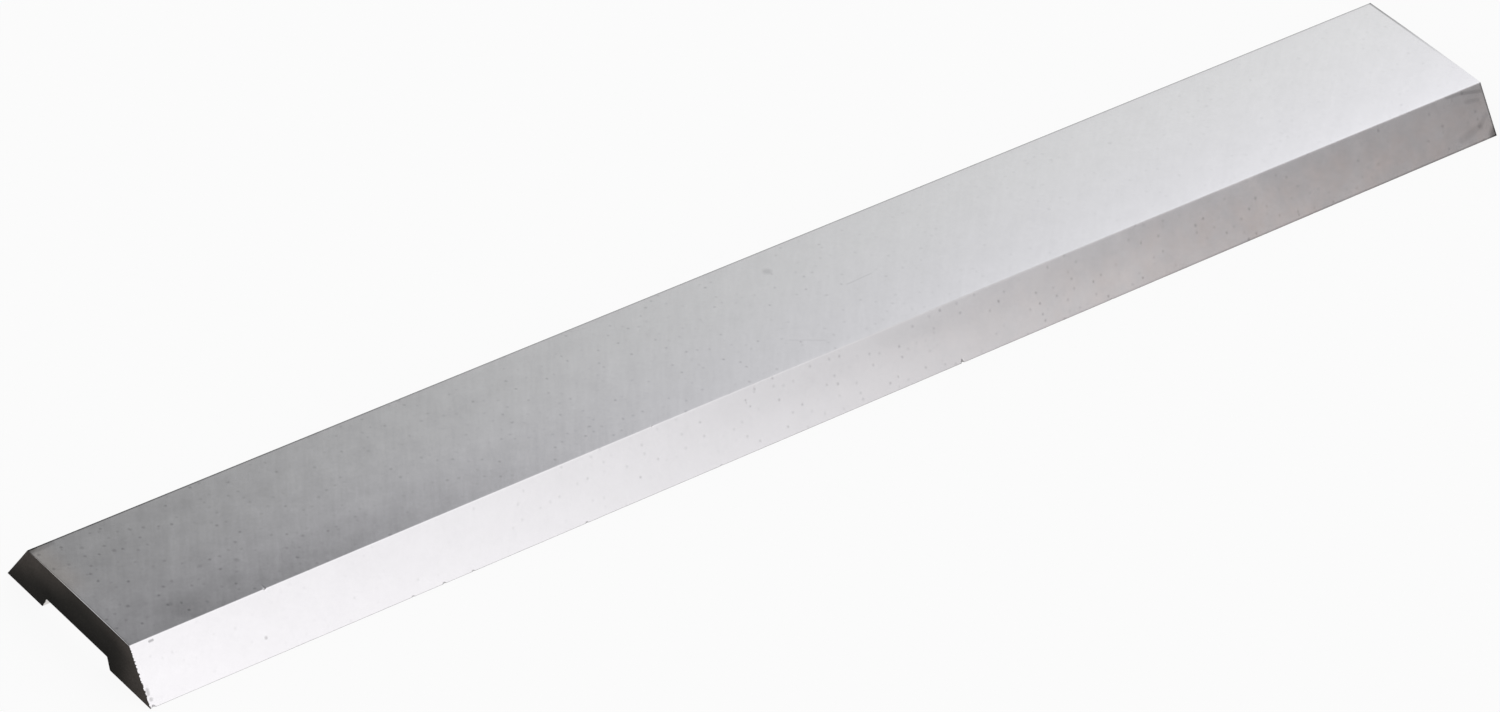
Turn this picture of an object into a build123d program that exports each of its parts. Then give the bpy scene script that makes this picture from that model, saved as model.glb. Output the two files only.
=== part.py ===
from build123d import *
import os
from math import radians, tan

# A two-edged carbide scraper blade: one bar of cemented carbide, pressed and sintered, then
# ground on its flat face, its upper face and both long bevels. The two long lower corners are
# the cutting edges. The holder's rib seats in a shallow groove along the flat face.
# The blade lies on its flat face: X runs along it, Y across it, and Z = 0 is the flat face,
# with the origin at the middle of that face.

# Driving dimensions, in millimetres and degrees
blade_length = 50.0  # end to end, the length of both cutting edges
blade_width = 7.2  # across the flat face, from one cutting edge to the other
blade_thickness = 1.5  # from the flat face to the upper face
edge_angle = 55.0  # of the wedge at a cutting edge, between the flat face and the bevel
groove_floor_width = 3.1  # across the seat that the holder's rib bears on
groove_depth = 0.40  # from the flat face up to the groove's floor
groove_draft = 24.0  # lean of each groove wall, so that the pressed bar leaves its die
groove_root_radius = 0.05  # where the groove's walls meet its floor

# Worked out from the driving dimensions
bevel_run = blade_thickness / tan(radians(edge_angle))
upper_width = blade_width - 2 * bevel_run
groove_mouth_width = groove_floor_width + 2 * groove_depth * tan(radians(groove_draft))

# The section stands on the blade's left end and looks along +X, with Y and Z as its axes
left_end = Plane.YZ.offset(-blade_length / 2)

with BuildPart() as scraper_blade:
    # One half of the ground section, from the middle of the flat face round the cutting edge
    # to the middle of the upper face, mirrored into the whole wedge-sided bar
    with BuildSketch(left_end):
        with BuildLine():
            Polyline(
                (0, 0),
                (blade_width / 2, 0),
                (upper_width / 2, blade_thickness),
                (0, blade_thickness),
            )
            mirror(about=Plane.YZ)
        make_face()
    extrude(amount=blade_length)

    # The locating groove, open at both ends and wider at its mouth than at its floor
    with BuildSketch(left_end):
        with BuildLine():
            Polyline(
                (0, 0),
                (groove_mouth_width / 2, 0),
                (groove_floor_width / 2, groove_depth),
                (0, groove_depth),
            )
            mirror(about=Plane.YZ)
        make_face()
    extrude(amount=blade_length, mode=Mode.SUBTRACT)

    # The long edges at the height of the groove's floor are its two roots
    groove_roots = (
        scraper_blade.edges()
        .filter_by(Axis.X)
        .filter_by_position(Axis.Z, groove_depth, groove_depth)
    )
    fillet(groove_roots, radius=groove_root_radius)

scraper_blade.part.label = "scraper_blade"

os.makedirs("parts", exist_ok=True)
export_step(scraper_blade.part, "parts/scraper_blade.step")
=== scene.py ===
from math import cos, pi, radians, sin, tan
import bmesh
import bpy
import numpy as np
from mathutils import Matrix, Vector


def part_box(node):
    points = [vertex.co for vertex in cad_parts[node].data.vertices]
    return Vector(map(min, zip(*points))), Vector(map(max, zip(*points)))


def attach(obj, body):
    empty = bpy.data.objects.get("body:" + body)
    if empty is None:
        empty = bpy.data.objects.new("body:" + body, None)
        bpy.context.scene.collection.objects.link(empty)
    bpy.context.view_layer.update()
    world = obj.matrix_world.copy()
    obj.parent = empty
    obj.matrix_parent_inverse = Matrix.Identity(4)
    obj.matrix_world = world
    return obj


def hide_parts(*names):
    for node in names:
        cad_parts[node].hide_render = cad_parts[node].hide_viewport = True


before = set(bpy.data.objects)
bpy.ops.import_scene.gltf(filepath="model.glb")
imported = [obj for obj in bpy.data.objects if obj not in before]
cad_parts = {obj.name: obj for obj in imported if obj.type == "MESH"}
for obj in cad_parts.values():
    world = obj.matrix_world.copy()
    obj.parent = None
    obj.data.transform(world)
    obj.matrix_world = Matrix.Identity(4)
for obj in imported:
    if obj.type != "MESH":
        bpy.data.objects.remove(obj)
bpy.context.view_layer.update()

# The bar: one piece of cemented carbide, pressed and sintered. Its flat face, groove, upper face and
# both long bevels are ground, which leaves the two keen cutting edges. The two square ends keep the
# dark skin of the sintered bar.
mm = 0.001
top_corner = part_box("scraper_blade")[1]
half_length = top_corner.x
half_width = top_corner.y
thickness = top_corner.z
edge_angle = radians(55)
shoulder = half_width - thickness / tan(edge_angle)
bevel_height = thickness / sin(edge_angle)

# The groove as it is on this blade, a tenth of a millimetre nearer the far edge: how deep it is, how
# far its floor and its mouth reach to either side of the middle, and how round its inner and outer
# corners are. What the smooth maximum leaves on the flat lands, less than the skim, is taken off.
groove_depth = 0.40 * mm
near_groove_floor = 1.46 * mm
near_groove_mouth = 1.60 * mm
far_groove_floor = 1.59 * mm
far_groove_mouth = 1.80 * mm
groove_root = 0.009 * mm
groove_lip = 0.010 * mm
flat_skim = 0.0006 * mm

# What grinding leaves on the true section, all of it under a tenth of a millimetre: the upper face
# is twisted, so that its near side lies lower towards the right end, and a little crowned, and the
# bevels are a little hollow
near_rise = 0.024 * mm
near_drop = 0.093 * mm
near_drop_start = -12.0 * mm
near_drop_span = 37.0 * mm
top_crown = 0.012 * mm
near_curl = 0.008 * mm
near_curl_width = 1.6 * mm
bevel_hollow = 0.008 * mm


def stations(low, high, count, places, fine, reach, coarse):
    """Places from low to high that crowd at the places given: equal shares of the running sum of a
    density, which is one over the coarse step, plus one over the fine step at each place, fading
    over its reach as a bell curve."""
    fine_enough = 40001
    line = np.linspace(low, high, fine_enough)
    off = (line[:, None] - np.array(places)) / np.array(reach)
    density = 1 / coarse + (np.exp(-off ** 2) / np.array(fine)).sum(1)
    travelled = np.concatenate([[0], np.cumsum((density[1:] + density[:-1]) / 2)])
    return np.interp(np.linspace(0, travelled[-1], count), travelled, line)


def near_fall(x):
    """How far the near shoulder lies under the full height: a parabola along the blade that starts a
    little above it and falls away towards the right end."""
    return near_drop * ((x - near_drop_start) / near_drop_span) ** 2 - near_rise


def upper_side(x, y):
    """The upper face and both bevels over (x, y), whichever is lower. The upper face falls in a
    straight line from the far shoulder to the near one, has a parabola for its crown, and curls down
    by another near the near shoulder. A bevel rises straight from the cutting edge less a parabola
    for its hollow. The grid's columns move with the near shoulder, so that one always lies on it."""
    fall = near_fall(x)
    up = np.clip((half_width - np.abs(y)) / (half_width - shoulder), 0, 1)
    outwards = np.minimum(up, np.abs(y) / shoulder) * (y < 0)
    y = y - outwards * fall / tan(edge_angle)
    share = (shoulder - y) / (2 * shoulder)
    curl = np.clip(1 - (y + shoulder) / near_curl_width, 0, None) ** 2
    crown = top_crown * np.clip(1 - (y / shoulder) ** 2, 0, None)
    face = thickness - (fall - near_curl) * share - near_curl * curl + crown
    up = (half_width - np.abs(y)) / (half_width - shoulder)
    bevel = thickness * up - bevel_hollow * 4 * up * np.clip(1 - up, 0, None)
    return np.stack([x, y, np.minimum(face, bevel)], -1)


def flat_side(x, y):
    """The flat face with its groove: the groove's roof and leaning walls meet in a smooth minimum,
    half their sum less the root of half their difference squared plus the root's size squared, and
    the walls meet the flat lands in a smooth maximum of the same kind."""
    mouth = np.where(y < 0, near_groove_mouth, far_groove_mouth)
    floor_half = np.where(y < 0, near_groove_floor, far_groove_floor)
    wall = (mouth - np.abs(y)) * groove_depth / (mouth - floor_half)
    half_gap = (wall - groove_depth) / 2
    recess = (wall + groove_depth) / 2 - np.sqrt(half_gap ** 2 + groove_root ** 2)
    recess = recess / 2 + np.sqrt(recess ** 2 / 4 + groove_lip ** 2)
    return np.stack([x, y, np.where(recess > flat_skim, recess, 0)], -1)


def scallops(along, chips):
    """How deep each chip bites at a place along an edge: a hollow (1 - t squared) squared, where t
    runs from -1 to 1 over the chip, and the deepest bite counts."""
    place, half, depth = np.array(chips).T
    t = np.clip((along[..., None] - place) / half, -1, 1)
    return (depth * (1 - t ** 2) ** 2).max(-1)


def break_edge(points, corner, outward, depth, softness):
    """Breaks one sharp edge: a point that lies further out along the edge's bisector than the break's
    depth is brought back to it, by the smooth minimum of the two. A point deep inside doesn't move.
    Returns the points and how far each moved."""
    outward = np.array(outward) / np.linalg.norm(outward)
    reach = (points - corner) @ outward
    half_gap = (reach + depth) / 2
    kept = (reach - depth) / 2 - np.sqrt(half_gap ** 2 + softness ** 2)
    deep_inside = 20 * softness + depth
    move = np.where(half_gap > -deep_inside, reach - kept, 0)
    return points - move[..., None] * outward, move


# The chips that show along the edges, as their place along the edge, half their length and depth,
# and the many tiny ones that only make the cutting edges a little uneven
rng = np.random.default_rng(41)
tiny_chips = 90
tiny_chip_half = 0.15 * mm
tiny_chip_depth = 0.006 * mm


def small_chips(count, low, high, half, depth):
    """Chips too small to place one by one, scattered evenly over a stretch of edge."""
    place = rng.uniform(low, high, count)
    length = half * rng.uniform(0.5, 1.5, count)
    bite = depth * rng.uniform(0.2, 1.0, count) ** 2
    return np.stack([place, length, bite], 1)


near_edge_chips = np.array([
    (-24.88, 0.08, 0.040), (-16.17, 0.05, 0.022), (-15.10, 0.06, 0.026), (-14.10, 0.05, 0.022),
    (-10.12, 0.05, 0.022), (-5.30, 0.04, 0.016), (3.66, 0.06, 0.052), (9.40, 0.04, 0.016),
]) * mm
far_edge_chips = np.array([(-19.2, 0.06, 0.030), (-2.6, 0.05, 0.022), (12.7, 0.06, 0.035)]) * mm
near_shoulder_chips = np.array([(-20.51, 0.05, 0.014), (-7.1, 0.04, 0.006)]) * mm
far_shoulder_chips = np.array([(-12.4, 0.04, 0.008), (6.8, 0.04, 0.008)]) * mm
chip_places = np.concatenate([
    c[:, 0] for c in (near_edge_chips, far_edge_chips, near_shoulder_chips, far_shoulder_chips)])
near_edge_chips = np.concatenate([
    near_edge_chips,
    small_chips(tiny_chips, -half_length, half_length, tiny_chip_half, tiny_chip_depth)])
far_edge_chips = np.concatenate([
    far_edge_chips,
    small_chips(tiny_chips, -half_length, half_length, tiny_chip_half, tiny_chip_depth)])

# The surface is two grids, one over the upper side and one under the flat side, joined at the ends
# by a third that runs from the lower grid's end row up to the upper one's. Across the blade the
# columns crowd at each edge: its place, the finest step there and how far that reaches. Along the
# blade the rows crowd at the two ends and at the chips.
column_count = 95
coarse_column = 0.22 * mm
row_count = 500
coarse_row = 0.14 * mm
end_step = 0.005 * mm
end_reach = 0.060 * mm
chip_step = 0.020 * mm
chip_reach = 0.100 * mm
end_rows = 17
edges_across = np.array([
    (-half_width, 0.005 * mm, 0.055 * mm), (-shoulder, 0.0055 * mm, 0.030 * mm),
    (-near_groove_mouth, 0.020 * mm, 0.045 * mm), (-near_groove_floor, 0.028 * mm, 0.040 * mm),
    (far_groove_floor, 0.028 * mm, 0.040 * mm), (far_groove_mouth, 0.020 * mm, 0.045 * mm),
    (shoulder, 0.0055 * mm, 0.030 * mm), (half_width, 0.005 * mm, 0.055 * mm)])
columns = stations(-half_width, half_width, column_count, *edges_across.T, coarse_column)
places_along = np.concatenate([[-half_length, half_length], chip_places])
steps_along = np.array([end_step] * 2 + [chip_step] * len(chip_places))
reaches_along = np.array([end_reach] * 2 + [chip_reach] * len(chip_places))
rows = stations(
    -half_length, half_length, row_count, places_along, steps_along, reaches_along, coarse_row)
along, across = np.meshgrid(rows, columns, indexing="ij")
upper = upper_side(along, across)
lower = flat_side(along, across)
rise = (1 - np.cos(np.linspace(0, pi, end_rows)))[:, None, None] / 2
left_end = lower[0] + (upper[0] - lower[0]) * rise
right_end = lower[-1] + (upper[-1] - lower[-1]) * rise
points = np.concatenate([g.reshape(-1, 3) for g in (upper, lower, left_end, right_end)])

# Each edge is broken a little: the shoulders are rubbed round, more so towards the right end, the
# cutting edges stay keen, and the ends have the small break that a stone gives. A chip leaves a face
# that leans back a little from upright.
rub = np.interp(points[:, 0], [-half_length, half_length], [0.003, 0.006]) * mm
rub_softness = 0.4
chip_lean = radians(4)
cut_bisector = (0, cos(edge_angle / 2), -sin(edge_angle / 2))
chip_bisector = (0, cos(chip_lean), sin(chip_lean))
shoulder_bisector = (0, sin(edge_angle / 2), cos(edge_angle / 2))
keen_break = 0.002 * mm
keen_softness = 0.0005 * mm
least_bite = 0.004 * mm
broken = np.zeros(len(points))
for side, edge_chips, shoulder_chips in (
        (-1, near_edge_chips, near_shoulder_chips), (1, far_edge_chips, far_shoulder_chips)):
    mirror = np.array([1, side, 1])
    cutting_edge = np.array([0, side * half_width, 0])
    bite = scallops(points[:, 0], edge_chips)
    points, moved = break_edge(points, cutting_edge, chip_bisector * mirror, bite, keen_softness)
    broken = np.maximum(broken, moved)
    cut_outward = cut_bisector * mirror
    points, moved = break_edge(points, cutting_edge, cut_outward, keen_break, keen_softness)
    fall = near_fall(points[:, 0]) * (side < 0)
    ridge = np.stack([0 * fall, side * (shoulder + fall / tan(edge_angle)), thickness - fall], -1)
    bite = scallops(points[:, 0], shoulder_chips)
    ridge_outward = shoulder_bisector * mirror
    points, moved = break_edge(points, ridge, ridge_outward, rub + bite, rub * rub_softness)
    broken = np.maximum(broken, np.where(bite > least_bite, moved, 0))

end_break = 0.005 * mm
end_flat_break = 0.004 * mm
end_softness = 0.002 * mm
for end, top_break in ((-1, 0.003 * mm), (1, 0.008 * mm)):
    for side in (-1, 1):
        corner = np.array([end * half_length, side * half_width, 0])
        slope = (end, side * sin(edge_angle), cos(edge_angle))
        points, moved = break_edge(points, corner, slope, end_break, end_softness)
    corner = np.array([end * half_length, 0, thickness])
    points, moved = break_edge(points, corner, (end, 0, 1), top_break, top_break / 2)
    corner = np.array([end * half_length, 0, 0])
    points, moved = break_edge(points, corner, (end, 0, -1), end_flat_break, end_softness)
points[:, 2] = np.clip(points[:, 2], 0, None)


def quads(first, high, wide, turned):
    """Four-sided faces of a grid whose points start at first, high rows by wide columns. Turned
    faces run the other way round, so that they look out of the far side."""
    g = first + np.arange(high * wide).reshape(high, wide)
    corners = [g[:-1, :-1], g[1:, :-1], g[1:, 1:], g[:-1, 1:]]
    return np.stack(corners[::-1] if turned else corners, -1).reshape(-1, 4)


long, wide, tall = len(rows), len(columns), len(rise)
flat_start = long * wide
left_start = 2 * long * wide
right_start = left_start + tall * wide
flat_faces = quads(flat_start, long, wide, True)
left_faces = quads(left_start, tall, wide, False)
right_faces = quads(right_start, tall, wide, True)
end_faces = np.concatenate([left_faces, right_faces])
faces = np.concatenate([quads(0, long, wide, False), flat_faces, end_faces])
sintered_face = np.zeros(len(faces), np.int32)
sintered_face[-len(end_faces):] = 1

# The girth is how far round the section a point lies from the middle of the upper face, so that a
# pattern keeps its scale on the bevels: flat on the upper face, then along the slope, then back
plain_y = np.concatenate([
    across.ravel(), across.ravel(), np.tile(columns, tall), np.tile(columns, tall)])
under = np.concatenate([
    np.zeros(long * wide), np.ones(long * wide), np.zeros(2 * tall * wide)])
over_shoulder = np.clip(np.abs(plain_y) - shoulder, 0, None)
girth = np.minimum(np.abs(plain_y), shoulder) + over_shoulder / cos(edge_angle)
round_edge = shoulder + bevel_height + (half_width - np.abs(plain_y))
girth = np.sign(plain_y) * np.where(under > 0, round_edge, girth)

full_break = 0.01 * mm
weld_reach = 0.0002 * mm
sharp_turn = radians(28)
ground = bpy.data.materials.new("ground_carbide")
sintered = bpy.data.materials.new("sintered_carbide_and_painted_shade")
mesh = bpy.data.meshes.new("scraper_blade_ground")
mesh.from_pydata(points, [], faces)
mesh.materials.append(ground)
mesh.materials.append(sintered)
mesh.polygons.foreach_set("material_index", sintered_face)
for name, values in (("girth", girth), ("broken", broken / full_break)):
    layer = mesh.attributes.new(name, "FLOAT", "POINT")
    layer.data.foreach_set("value", values.astype(np.float32))
weld = bmesh.new()
weld.from_mesh(mesh)
bmesh.ops.remove_doubles(weld, verts=weld.verts, dist=weld_reach)
weld.to_mesh(mesh)
weld.free()
mesh.polygons.foreach_set("use_smooth", np.ones(len(mesh.polygons), bool))
mesh.set_sharp_from_angle(angle=sharp_turn)
blade = bpy.data.objects.new("scraper_blade_ground", mesh)
bpy.context.scene.collection.objects.link(blade)
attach(blade, "root")
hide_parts("scraper_blade")


# The ground carbide: a fine-grained silver grey metal with a satin grinding finish. Faint grinding
# lines slant across the upper face, and pores and specks of the sintered grain show, most of them
# towards the left end. The bevel towards the right end has a warm, smudged film from handling.
class Wire:
    """One socket of a node tree. Sums, products and powers of wires and numbers add Math nodes."""

    def __init__(self, tree, socket=None):
        self.tree = tree
        self.socket = socket

    def node(self, kind, settings=None, sockets=None, out=0):
        """Adds a node of that type: its settings first, then its sockets' numbers or links."""
        made = self.tree.nodes.new(kind)
        for name, value in (settings or {}).items():
            setattr(made, name, value)
        for name, value in (sockets or {}).items():
            if isinstance(value, Wire):
                self.tree.links.new(value.socket, made.inputs[name])
            else:
                made.inputs[name].default_value = value
        return Wire(self.tree, made.outputs[out])

    def maths(self, operation, *values):
        return self.node("ShaderNodeMath", {"operation": operation}, dict(enumerate(values)))

    def __add__(self, other):
        return self.maths("ADD", self, other)

    def __sub__(self, other):
        return self.maths("SUBTRACT", self, other)

    def __rsub__(self, other):
        return self.maths("SUBTRACT", other, self)

    def __mul__(self, other):
        return self.maths("MULTIPLY", self, other)

    def __pow__(self, other):
        return self.maths("POWER", self, other)

    __radd__ = __add__
    __rmul__ = __mul__

    def size(self):
        """The number without its sign."""
        return self.maths("ABSOLUTE", self)

    def step(self, low, high):
        """From 0 at low to 1 at high, with a soft start and end. High may be the lower one."""
        ends = {"Value": self, "From Min": low, "From Max": high}
        return self.node("ShaderNodeMapRange", {"interpolation_type": "SMOOTHSTEP"}, ends)

    def axes(self):
        """The three numbers of a vector."""
        parts = self.tree.nodes.new("ShaderNodeSeparateXYZ")
        self.tree.links.new(self.socket, parts.inputs[0])
        return [Wire(self.tree, s) for s in parts.outputs]

    def between(self, one, other):
        """A colour that runs from one to the other as this wire runs from 0 to 1."""
        return self.node("ShaderNodeMix", {"data_type": "RGBA"}, {0: self, 6: one, 7: other}, out=2)

    def scaled(self, factor):
        return self.node("ShaderNodeVectorMath", {"operation": "SCALE"}, {0: self, "Scale": factor})


def vector(start, x, y, z):
    """Three numbers or wires as one vector."""
    return start.node("ShaderNodeCombineXYZ", None, {0: x, 1: y, 2: z})


def noise(place, scale, detail, roughness):
    """A soft random field about 0.5 with a feature about one over scale long. Detail is how many
    halvings of it are laid over, and roughness how strong each is against the one before."""
    settings = {"Vector": place, "Scale": scale, "Detail": detail, "Roughness": roughness}
    return place.node("ShaderNodeTexNoise", None, settings)


def begin(material):
    """The wire that a material's nodes start from, and its Principled shader."""
    material.use_nodes = True
    return Wire(material.node_tree), material.node_tree.nodes["Principled BSDF"]


def stroke(spot, one_end, other_end, half):
    """1 on a straight mark between two ends and 0 off it: the distance from the nearest place on the
    line between the ends, against the mark's half width. One end twice makes a round spot."""
    one_end = np.array([*one_end, 0.0])
    run = np.array([*other_end, 0.0]) - one_end
    length = np.linalg.norm(run)
    away = spot.node("ShaderNodeVectorMath", {"operation": "SUBTRACT"}, {0: spot, 1: tuple(one_end)})
    if length > 0:
        toward = tuple(run / length)
        ends = {0: away, 1: toward}
        travelled = spot.node("ShaderNodeVectorMath", {"operation": "DOT_PRODUCT"}, ends, out="Value")
        nearest = spot.maths("MINIMUM", spot.maths("MAXIMUM", travelled, 0), length)
        nearest = vector(spot, *toward).scaled(nearest)
        away = spot.node("ShaderNodeVectorMath", {"operation": "SUBTRACT"}, {0: away, 1: nearest})
    distance = spot.node("ShaderNodeVectorMath", {"operation": "LENGTH"}, {0: away}, out="Value")
    soft_outside = 1.6
    soft_inside = 0.3
    return distance.step(half * soft_outside, half * soft_inside)


steel = (0.60, 0.60, 0.61, 1)
cool_steel = (0.600, 0.597, 0.621, 1)
pale_film = (0.616, 0.604, 0.621, 1)
warm_film = (0.650, 0.590, 0.580, 1)
brown_tinge = (0.625, 0.600, 0.584, 1)
chipped = (0.30, 0.29, 0.28, 1)
end_skin = (0.10, 0.09, 0.08, 1)
start, shader = begin(ground)
in_mm = start.node("ShaderNodeTexCoord", out="Object").scaled(1 / mm)
x, y, z = in_mm.axes()
girth_mm = start.node("ShaderNodeAttribute", {"attribute_name": "girth"}, out="Fac") * (1 / mm)
chip = start.node("ShaderNodeAttribute", {"attribute_name": "broken"}, out="Fac").step(0.1, 0.8)
shoulder_mm = shoulder / mm
edge_girth = (shoulder + bevel_height) / mm
blend = 0.02
near_girth = 0 - girth_mm
near_y = 0 - y
on_bevel = girth_mm.size().step(shoulder_mm - blend, shoulder_mm + blend)
on_near_bevel = near_girth.step(shoulder_mm - blend, shoulder_mm + blend)
on_near_bevel = on_near_bevel * near_girth.step(edge_girth + 0.05, edge_girth)

# Grinding lines: noise drawn out along the lines' own direction. On the upper face they slant across
# it in wide arcs, fine and broad ones together, and on the bevels they run nearly along the blade.
# The places of these and of all the patterns below are in millimetres along the blade.
to_left = (0 - x).step(0, 26) * (1 - on_bevel)
lines_along = x * 0.62 + girth_mm * 0.78
lines_across = (girth_mm - x * 1.22 + x * x * 0.0095) * 0.62
fine_place = vector(start, lines_along * 0.8, lines_across * 7, 0)
fine_lines = (noise(fine_place, 1.0, 3.0, 0.6) - 0.5) * (1 - on_bevel)
broad_place = vector(start, lines_along * 0.25, lines_across * 1.8, 7)
broad_lines = (noise(broad_place, 1.0, 3.0, 0.6) - 0.5) * (1 - on_bevel)
long_lines = noise(vector(start, x * 0.6, girth_mm * 12 + x * 0.9, 0), 1.0, 3.0, 0.6)
lines = fine_lines + (long_lines - 0.5) * on_bevel * 0.5
fine_strength = 0.033 + x.step(8, -16) * 0.085
broad_strength = 0.045 + x.step(18, -6) * 0.05 + to_left * 0.10
streaks = fine_lines * fine_strength + broad_lines * broad_strength

# Grain, cloudy mottling, and dark pores in the grain. Each cell of a flat Voronoi pattern has one
# pore, as deep as the fourth power of the cell's own random number, so that only a few are deep. The
# deep ones lie towards the left end of the upper face and the right end of the bevels.
grain_strength = 0.085 + to_left * 0.08
grain = (noise(in_mm, 9.0, 3.0, 0.7) - 0.5) * grain_strength
cloud = noise(in_mm, 1.3, 3.0, 0.6) - 0.5
cloud_strength = 0.07 + to_left * 0.25
spot = vector(start, x, girth_mm, 0)
cells = {"Vector": spot, "Scale": 2.9}
flat = {"voronoi_dimensions": "2D"}
pore_cell = start.node("ShaderNodeTexVoronoi", flat, cells)
pore_draw = start.node("ShaderNodeTexVoronoi", flat, cells, out="Color").axes()[0]
face_pores = x.step(8, -3) * 0.125 + x.step(-16, -26) * 0.22
bevel_pores = x.step(-18, 8) * (0.20 - x.step(8, 20) * 0.06)
deepest = 0.07 + face_pores * (1 - on_bevel) + bevel_pores * on_bevel
ragged = pore_cell + grain * 1.1
pores = ragged.step(0.22, 0.01) * pore_draw ** 4 * deepest

# The marks that can be told apart, as the two ends of each in millimetres along the blade and round
# the section, its half width and how much it darkens: pits and specks, fine scratches, the darker
# corners and soft patches of the left end, one of them lighter, and the right end's smudges
marks = (
    (0.28, 1.62, 0.28, 1.62, 0.14, 0.16), (13.10, 1.13, 13.10, 1.13, 0.06, 0.08),
    (22.05, -2.17, 22.05, -2.17, 0.05, 0.09), (-23.02, 1.19, -23.02, 1.19, 0.06, 0.24),
    (-24.07, -1.10, -24.07, -1.10, 0.06, 0.24), (-20.44, -1.08, -20.44, -1.08, 0.08, 0.14),
    (-21.44, -0.73, -21.44, -0.73, 0.08, 0.12), (-23.07, -1.67, -23.07, -1.67, 0.08, 0.14),
    (-23.93, 0.97, -23.93, 0.97, 0.05, 0.20), (-24.40, 1.36, -24.40, 1.36, 0.05, 0.18),
    (-23.69, 1.79, -23.69, 1.79, 0.06, 0.18), (-22.13, 1.73, -22.13, 1.73, 0.05, 0.18),
    (-22.90, 2.13, -22.90, 2.13, 0.05, 0.16), (-24.46, -1.58, -24.46, -1.58, 0.05, 0.16),
    (-20.95, -3.815, -20.95, -3.815, 0.05, 0.28), (-7.99, -3.765, -7.99, -3.765, 0.04, 0.18),
    (-3.86, -2.90, -3.86, -2.90, 0.035, 0.20), (-3.77, -3.116, -3.77, -3.116, 0.035, 0.16),
    (-3.86, -2.983, -3.86, -2.983, 0.03, 0.12), (-24.37, -2.655, -24.26, -2.650, 0.035, 0.42),
    (1.86, -0.20, 2.80, -0.16, 0.03, 0.08), (-1.25, -1.47, -0.40, -2.04, 0.04, 0.05),
    (-24.90, -3.85, -24.91, -3.98, 0.05, 0.30), (-24.88, -4.14, -24.88, -4.14, 0.06, 0.30),
    (-24.99, 2.50, -24.85, 2.55, 0.12, 0.30), (23.54, -2.60, 24.18, -2.66, 0.05, 0.14),
    (-24.95, 2.42, -24.30, 2.46, 0.11, 0.22), (-23.40, -1.95, -22.60, -1.75, 0.50, 0.04),
    (-24.60, 0.05, -24.60, -0.95, 0.45, -0.07),
    (24.18, -2.66, 24.88, -2.81, 0.06, 0.20), (24.23, -2.97, 24.70, -3.05, 0.07, 0.12),
    (23.65, -4.07, 24.48, -3.88, 0.12, 0.12), (24.48, -3.88, 24.80, -3.62, 0.09, 0.12),
    (24.92, -4.33, 24.98, -4.25, 0.19, 0.50), (1.30, -2.85, 3.10, -3.05, 0.26, 0.030),
)
marked = 0
for from_x, from_girth, to_x, to_girth, half, share in marks:
    marked = stroke(spot, (from_x, from_girth), (to_x, to_girth), half) * share + marked

# Along the ends of the bevels the sintered skin shows in small nibbles, and the near bevel darkens
# there and along its cutting edge, both towards the right. A painted dark rim, standing in for the
# dark reflection of the rounded edge, follows the far shoulder and the far half of the right end's
# upper edge.
from_end = half_length / mm - x.size()
nibble = noise(vector(start, 0, y * 14, z * 14), 1.0, 2.0, 0.6) - 0.42
nibbled = (from_end - nibble * 0.16).step(0.012, -0.012) * on_bevel
end_dim = from_end.step(0.09, 0.0) * on_near_bevel * x.step(0, 20) * 0.55
cut_dim = near_girth.step(edge_girth - 0.075, edge_girth - 0.03) * x.step(-2, 24) * 0.28
# painted dark rim: shade standing in for the dark reflection of the rounded far shoulder and right
# end edge
far_painted_rim_strength = 0.28 + (0 - x).step(6, 25) * 0.55
far_painted_rim = girth_mm.step(shoulder_mm - 0.08, shoulder_mm - 0.01) * far_painted_rim_strength
right_painted_rim = x.step(24.88, 24.96) * y.step(-1.8, 2.4) * 0.55
painted_rim = (far_painted_rim + right_painted_rim) * girth_mm.size().step(shoulder_mm + 0.05, shoulder_mm + blend)

# The upper face has painted shade towards its near left corner. The near bevel has a film from
# handling, pale and violet, warmer and mottled towards the right end and away from the shoulder,
# and painted lighter and darker bands that stand in for its reflection.
# painted shade on the upper face towards its near left corner
painted_shade_near_left = near_y.step(0.5, 2.4) * x.step(-24.4, -22.6) * x.step(-5, -19) * (1 - on_bevel) * 0.14
mottle = noise(in_mm, 0.9, 4.0, 0.62) - 0.5
mottle_strength = on_near_bevel * x.step(-6, 20) * 0.34
warm_below = 0.35 + 0.65 * near_girth.step(shoulder_mm, shoulder_mm + 0.8)
film = x.step(-4, 18) * (0.62 + cloud * 1.5) * warm_below
low = near_girth.step(shoulder_mm + 0.5, edge_girth - 0.3)
# painted lighter and darker bands on the near bevel, standing in for its reflection
painted_bevel_light_and_shade = x.step(-20, -12) * x.step(-2, -9) * 0.03 + x.step(14, 24) * 0.025
painted_bevel_light_and_shade = painted_bevel_light_and_shade + low * x.step(-8, -3) * x.step(5, 1) * 0.04
painted_bevel_light_and_shade = painted_bevel_light_and_shade - (1 - low) * x.step(1, 5) * x.step(14, 7) * 0.045

# The tone is the share of its full lightness that the metal has, all of the above together
full_tone = 0.985
tone = full_tone + on_bevel * 0.01 - to_left * 0.015
tone = tone + lines * 0.02 + streaks + grain + cloud * cloud_strength
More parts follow.
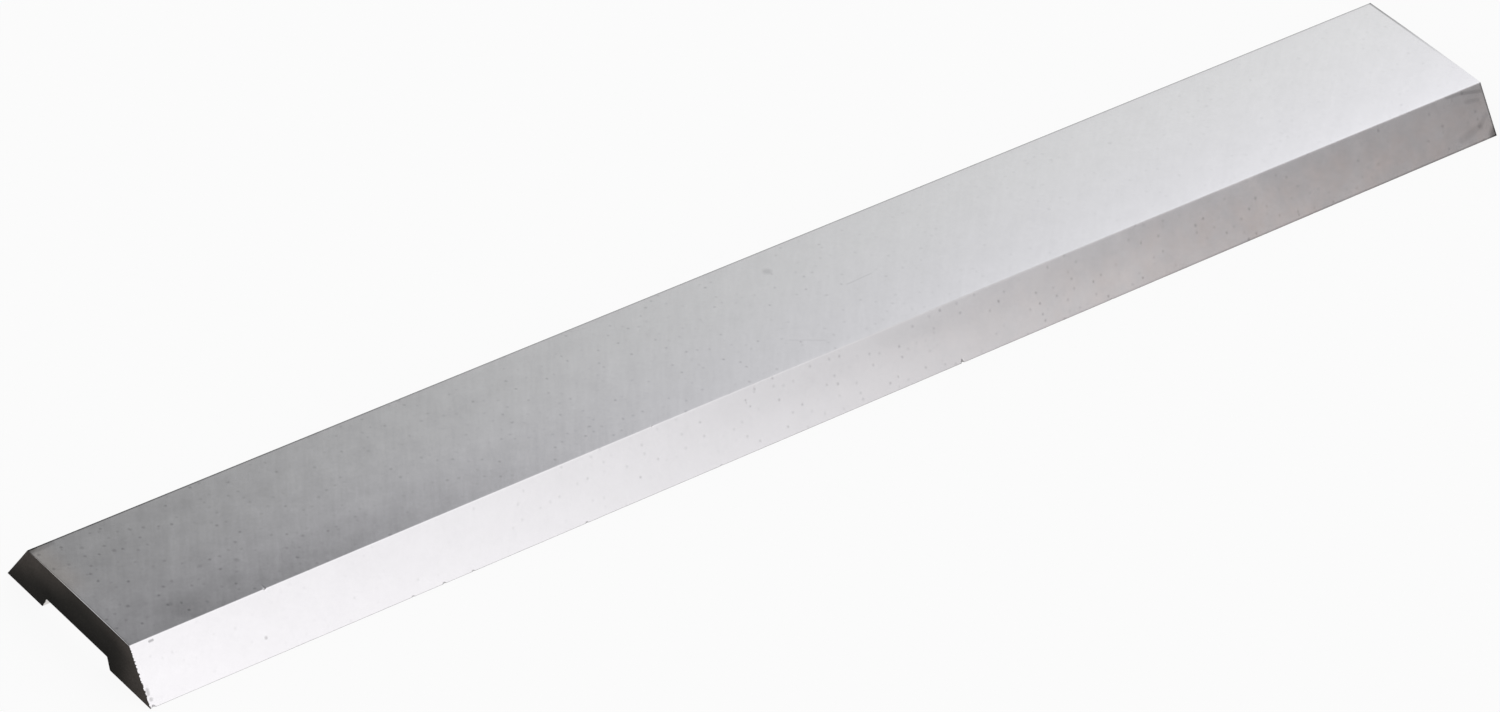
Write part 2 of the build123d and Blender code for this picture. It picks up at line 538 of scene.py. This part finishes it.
# Painted light and shade in the tone: the near bevel's lighter and darker bands, the darker near left
# corner of the upper face and the dark rim
tone = tone + mottle * mottle_strength + painted_bevel_light_and_shade * on_near_bevel - painted_shade_near_left - painted_rim
tone = tone - pores - marked - end_dim - cut_dim * on_near_bevel
bare = near_y.step(-2.2, 2.8).between(steel, cool_steel)
bare = (x.step(-24.1, -24.9) * y.step(-0.2, 1.0)).between(bare, brown_tinge)
colour = on_near_bevel.between(bare, film.between(pale_film, warm_film)).scaled(tone)
colour = (chip * x.step(-32, -8) * 0.7).between(colour, chipped)
colour = nibbled.between(colour, end_skin)
satin = 0.16
roughness = satin + lines * 0.02 + grain * 0.2 + chip * 0.25 + nibbled * 0.4
bump = start.node("ShaderNodeBump", None, {"Strength": 0.04, "Distance": 0.004 * mm, "Height": lines})
shader.inputs["Metallic"].default_value = 1.0
tree = ground.node_tree
tree.links.new(colour.socket, shader.inputs["Base Color"])
tree.links.new(roughness.socket, shader.inputs["Roughness"])
tree.links.new(bump.socket, shader.inputs["Normal"])

# The sintered skin of the two ends: the same carbide with its dark brown furnace skin, matt and
# finely grained, made darker than that skin with painted shade, a little lighter where it meets the
# upper face and the near bevel, and darkest over the groove
start, shader = begin(sintered)
in_mm = start.node("ShaderNodeTexCoord", out="Object").scaled(1 / mm)
x, y, z = in_mm.axes()
grain = noise(in_mm, 14.0, 3.0, 0.7) - 0.5
cloud = noise(in_mm, 1.6, 2.0, 0.5) - 0.5
lighter_up_and_near = (z + y.size() * 0.19 + y * 0.11).step(1.0, 2.1) + (0 - y).step(1.75, 3.1) * 0.95
above_groove = y.size().step(2.3, 1.4) * z.step(0.95, 0.5)
shade = (1 + grain * 0.7 + cloud * 0.5) * (1 - above_groove * 0.36)
# the end colours are the dark skin darkened further with painted shade
dark_skin_and_painted_shade = (0.020, 0.0185, 0.0165, 1)
lighter_skin_and_painted_shade = (0.069, 0.060, 0.054, 1)
skin = lighter_up_and_near.between(dark_skin_and_painted_shade, lighter_skin_and_painted_shade).scaled(shade)
bump = start.node("ShaderNodeBump", None, {"Strength": 0.4, "Distance": 0.006 * mm, "Height": grain})
shader.inputs["Roughness"].default_value = 0.75
shader.inputs["Specular IOR Level"].default_value = 0.05
sintered.node_tree.links.new(skin.socket, shader.inputs["Base Color"])
sintered.node_tree.links.new(bump.socket, shader.inputs["Normal"])

# The studio: a dim room with a pale horizon and soft round panels, the last of which takes light
# away. Each panel is a compass bearing and a height in degrees, how far it reaches, its soft rim and
# its light. The camera itself sees a plain white backdrop.
panels = (
    (50.7, 30.7, 15.0, 8.3, 0.94),
    (162.0, 33.2, 19.6, 8.0, 1.59),
    (90.4, 50.3, 32.0, 8.0, 0.84),
    (285.0, 30.0, 40.0, 12.0, 0.80),
    (35.5, 53.9, 13.0, 6.0, -0.25),
)
room_light = 0.15
horizon_light = 0.70
horizon_height = radians(12)
world = bpy.data.worlds.new("studio")
world.use_nodes = True
bpy.context.scene.world = world
start = Wire(world.node_tree)
direction = start.node("ShaderNodeTexCoord", out="Generated")
height = direction.axes()[2]
light = room_light + height.step(sin(horizon_height), 0.0) * (horizon_light - room_light)
for bearing, raised, reach, soft_rim, strength in panels:
    level = cos(radians(raised))
    centre = (sin(radians(bearing)) * level, cos(radians(bearing)) * level, sin(radians(raised)))
    both = {0: direction, 1: centre}
    facing = start.node("ShaderNodeVectorMath", {"operation": "DOT_PRODUCT"}, both, out="Value")
    angle = start.maths("ARCCOSINE", facing)
    light = light + angle.step(radians(reach + soft_rim), radians(reach - soft_rim)) * strength
seen = start.node("ShaderNodeLightPath", out="Is Camera Ray")
light = light * (1 - seen) + seen
backdrop = world.node_tree.nodes["Background"]
world.node_tree.links.new(light.socket, backdrop.inputs["Strength"])
backdrop.inputs["Color"].default_value = (1, 1, 1, 1)

# The floor: a plain pale table, which the camera sees as white paper, apart from the blade's faint
# shadow. From underneath it is clear.
floor_size = 2.4
floor_drop = 0.02 * mm
white_share = 0.92
table = bpy.data.meshes.new("floor")
corner = floor_size / 2
table.from_pydata(
    [(-corner, -corner, -floor_drop), (corner, -corner, -floor_drop),
     (corner, corner, -floor_drop), (-corner, corner, -floor_drop)], [], [(0, 1, 2, 3)])
floor = bpy.data.objects.new("floor", table)
bpy.context.scene.collection.objects.link(floor)
paper = bpy.data.materials.new("pale_paper")
start, shader = begin(paper)
shader.inputs["Base Color"].default_value = (0.90, 0.90, 0.90, 1)
shader.inputs["Roughness"].default_value = 0.9
shader.inputs["Specular IOR Level"].default_value = 0.0
ray = start.node("ShaderNodeLightPath", out="Is Camera Ray")
ray_kinds = {s.name: Wire(start.tree, s) for s in ray.socket.node.outputs}
seen = ray_kinds["Is Camera Ray"] + ray_kinds["Is Glossy Ray"] + ray_kinds["Is Transmission Ray"]
white = start.node("ShaderNodeEmission", None, {"Strength": 1.0})
shadowed = Wire(start.tree, shader.outputs[0])
lit = start.node("ShaderNodeMixShader", None, {0: seen * white_share, 1: shadowed, 2: white})
clear = start.node("ShaderNodeBsdfTransparent")
below = start.node("ShaderNodeNewGeometry", out="Backfacing")
surface = start.node("ShaderNodeMixShader", None, {0: below, 1: lit, 2: clear})
start.tree.links.new(surface.socket, start.tree.nodes["Material Output"].inputs["Surface"])
table.materials.append(paper)

# The camera stands beyond the near edge to the left of the blade and looks down along it, with a
# long lens. The horizon leans a little, as in the photograph.
lens = 168.25
sensor = 36.0
view_bearing = radians(39.792)
view_down = radians(36.549)
view_roll = radians(3.749)
view_distance = 0.20498
nearest_seen = 0.01
view_target = Vector((-2.0385, -0.6268, 0.750)) * mm
camera_data = bpy.data.cameras.new("camera")
camera_data.lens = lens
camera_data.sensor_width = sensor
camera_data.clip_start = nearest_seen
camera = bpy.data.objects.new("camera", camera_data)
bpy.context.scene.collection.objects.link(camera)
forward = cos(view_down)
gaze = Vector((sin(view_bearing) * forward, cos(view_bearing) * forward, -sin(view_down)))
turn = gaze.to_track_quat("-Z", "Y").to_matrix() @ Matrix.Rotation(view_roll, 3, "Z")
camera.location = view_target - gaze * view_distance
camera.rotation_euler = turn.to_euler()
bpy.context.scene.camera = camera
bpy.context.scene.view_settings.view_transform = "Standard"
